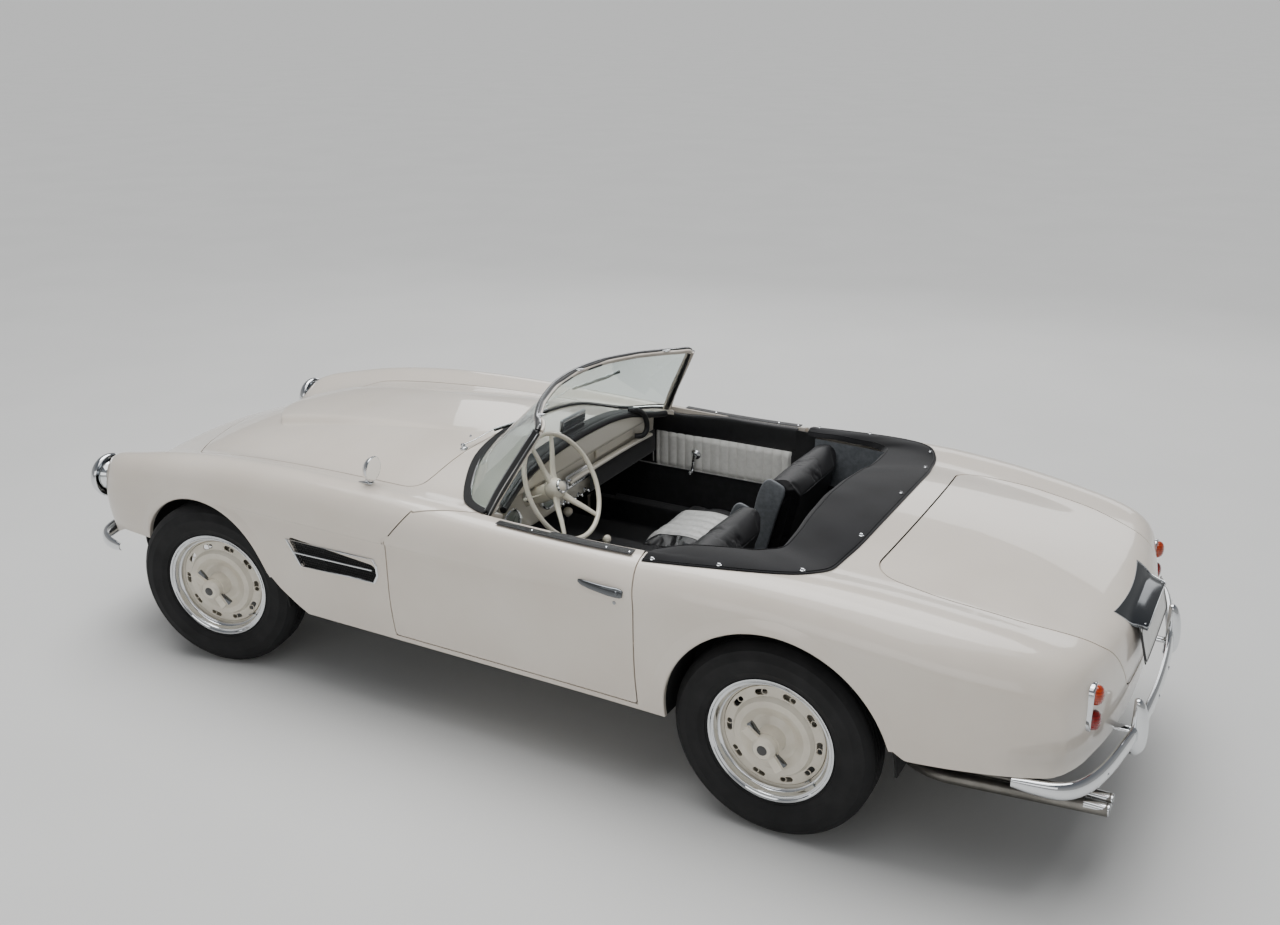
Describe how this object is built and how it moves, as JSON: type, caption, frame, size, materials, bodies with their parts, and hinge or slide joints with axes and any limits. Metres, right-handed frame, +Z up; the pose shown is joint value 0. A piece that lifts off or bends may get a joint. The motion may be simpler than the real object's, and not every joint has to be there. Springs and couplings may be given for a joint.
{
  "type": "two-seat roadster convertible",
  "caption": "Open two-seat roadster with rounded wings, curved windscreen, stowed fabric top, disc wheels, opening doors, bonnet and boot lid.",
  "frame": {"origin": "on the ground, at the middle of the car's length and width", "axes": "+X forward, +Y to the car's left, +Z up"},
  "size_m": [4.38, 1.7294, 1.2367],
  "materials": {
    "ivory_paint": "gloss",
    "black_frame": "satin",
    "cabin_carpet": "pile",
    "engine_iron": "rough",
    "chrome": "polished",
    "tyre_rubber": "matt",
    "wheel_paint": "gloss",
    "glass": "clear",
    "black_leather": "satin",
    "silver_leather": "satin",
    "black_canvas": "matt",
    "ivory_plastic": "gloss",
    "steel": "dull",
    "red_lens": "clear",
    "dash_paint": "gloss"
  },
  "bodies": {
    "body": {"sills": "ivory_paint", "body_front": "ivory_paint", "body_rear": "ivory_paint", "chassis_frame": "black_frame", "floor_pan": "cabin_carpet", "wheel_tubs": "black_frame", "boot_floor": "black_frame", "engine": "engine_iron", "radiator": "black_frame", "rear_axle": "black_frame", "front_suspension": "black_frame", "exhaust": "steel", "windscreen_frame": "chrome", "windscreen_glass": "glass", "steering_column": "ivory_plastic", "dashboard": "dash_paint", "controls": "steel", "seat_cushions": "black_leather", "seat_backs": "black_leather", "top_cover": "black_canvas", "front_bumper": "chrome", "rear_bumper": "chrome", "grille": "chrome", "headlamps": "chrome", "side_vents": "chrome", "tail_lamps": "red_lens", "fender_mirror": "chrome", "interior_mirror": "chrome", "wipers": "chrome"},
    "steer_left": {"knuckle_left": "steel"},
    "steer_right": {"knuckle_right": "steel"},
    "wheel_front_left": {"wheel_front_left": "wheel_paint", "tyre_front_left": "tyre_rubber"},
    "wheel_front_right": {"wheel_front_right": "wheel_paint", "tyre_front_right": "tyre_rubber"},
    "wheel_rear_left": {"wheel_rear_left": "wheel_paint", "tyre_rear_left": "tyre_rubber"},
    "wheel_rear_right": {"wheel_rear_right": "wheel_paint", "tyre_rear_right": "tyre_rubber"},
    "steering": {"steering_wheel": "ivory_plastic"},
    "door_left": {"door_left": "ivory_paint", "door_trim_left": "silver_leather", "door_handle_left": "chrome"},
    "door_right": {"door_right": "ivory_paint", "door_trim_right": "silver_leather", "door_handle_right": "chrome"},
    "bonnet": {"bonnet": "ivory_paint"},
    "boot_lid": {"boot_lid": "ivory_paint", "number_plate": "black_frame"}
  },
  "joints": [
    {"name": "steer_left_turn", "type": "hinge", "parent": "body", "child": "steer_left", "pos_m": [1.372, 0.6225, 0.351], "axis": [0, 0, 1], "range_deg": [-42.7, 17.3]},
    {"name": "steer_right_turn", "type": "hinge", "parent": "body", "child": "steer_right", "pos_m": [1.372, -0.6225, 0.351], "axis": [0, 0, 1], "range_deg": [-42.7, 17.3]},
    {"name": "steering_turn", "type": "hinge", "parent": "body", "child": "steering", "pos_m": [-0.08, 0.36, 0.9], "axis": [-0.8829, 0, 0.4695], "range_deg": [-640.5, 259.5]},
    {"name": "wheel_front_left_spin", "type": "hinge", "parent": "steer_left", "child": "wheel_front_left", "pos_m": [1.35002, 0.72005, 0.351], "axis": [-0.2198, 0.9755, 0], "continuous": true},
    {"name": "wheel_front_right_spin", "type": "hinge", "parent": "steer_right", "child": "wheel_front_right", "pos_m": [1.39398, -0.72005, 0.351], "axis": [-0.2198, 0.9755, 0], "continuous": true},
    {"name": "wheel_rear_left_spin", "type": "hinge", "parent": "body", "child": "wheel_rear_left", "pos_m": [-1.108, 0.7125, 0.351], "axis": [0, 1, 0], "continuous": true},
    {"name": "wheel_rear_right_spin", "type": "hinge", "parent": "body", "child": "wheel_rear_right", "pos_m": [-1.108, -0.7125, 0.351], "axis": [0, 1, 0], "continuous": true},
    {"name": "door_left_hinge", "type": "hinge", "parent": "body", "child": "door_left", "pos_m": [0.40868, 0.811, 0.6], "axis": [0, 0, -1], "range_deg": [0, 65]},
    {"name": "door_right_hinge", "type": "hinge", "parent": "body", "child": "door_right", "pos_m": [0.40868, -0.811, 0.6], "axis": [0, 0, 1], "range_deg": [0, 65]},
    {"name": "bonnet_hinge", "type": "hinge", "parent": "body", "child": "bonnet", "pos_m": [1.862, 0, 0.79], "axis": [0, 1, 0], "range_deg": [0, 50]},
    {"name": "boot_lid_hinge", "type": "hinge", "parent": "body", "child": "boot_lid", "pos_m": [-1.36, 0, 0.935], "axis": [0, 1, 0], "range_deg": [0, 55]}
  ],
  "couplings": [
    {"joint": "steer_right_turn", "follows": "steer_left_turn", "ratio": 1},
    {"joint": "steering_turn", "follows": "steer_left_turn", "ratio": 15}
  ]
}
